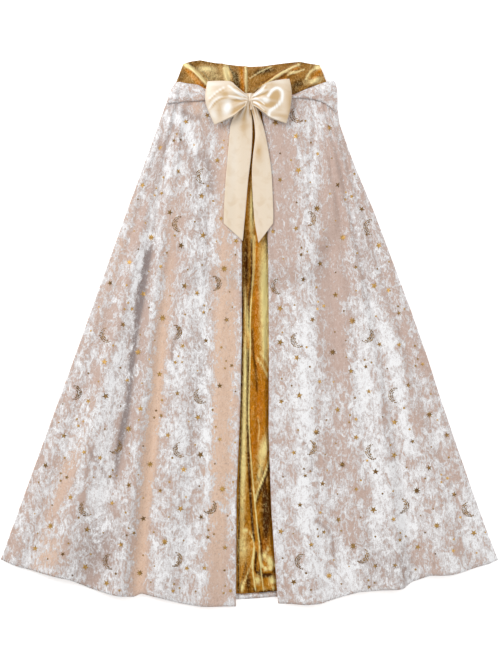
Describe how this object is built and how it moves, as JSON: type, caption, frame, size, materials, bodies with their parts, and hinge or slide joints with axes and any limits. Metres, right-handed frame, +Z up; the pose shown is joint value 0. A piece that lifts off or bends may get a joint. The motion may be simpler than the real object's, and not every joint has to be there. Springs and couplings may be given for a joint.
{
  "type": "hooded cape",
  "caption": "Child's hooded velvet cape with a gold lining and a satin bow at the neck, laid flat on its back with the hood folded under it.",
  "frame": {"origin": "middle of the garment's outline, on the surface it lies on", "axes": "+Y towards the neck, +X towards the picture's right, +Z up from the surface"},
  "size_m": [0.6237, 0.6853, 0.0274],
  "materials": {
    "back_velvet": "crushed velvet",
    "back_gold": "gold lame",
    "front_left_velvet": "crushed velvet with gold foil print",
    "front_right_velvet": "crushed velvet with gold foil print",
    "band_velvet": "crushed velvet with gold foil print",
    "hood_gold": "gold lame",
    "hood_velvet": "crushed velvet",
    "satin": "satin ribbon"
  },
  "bodies": {
    "root": {"back_panel": "back_velvet", "back_lining": "back_gold", "front_left": "front_left_velvet", "front_right": "front_right_velvet", "hood_band": "band_velvet", "hood_lining": "hood_gold", "hood_pouch": "hood_velvet", "ribbon_knot": "satin", "ribbon_loop_left": "satin", "ribbon_loop_right": "satin", "ribbon_tail_left": "satin", "ribbon_tail_right": "satin"}
  },
  "joints": []
}
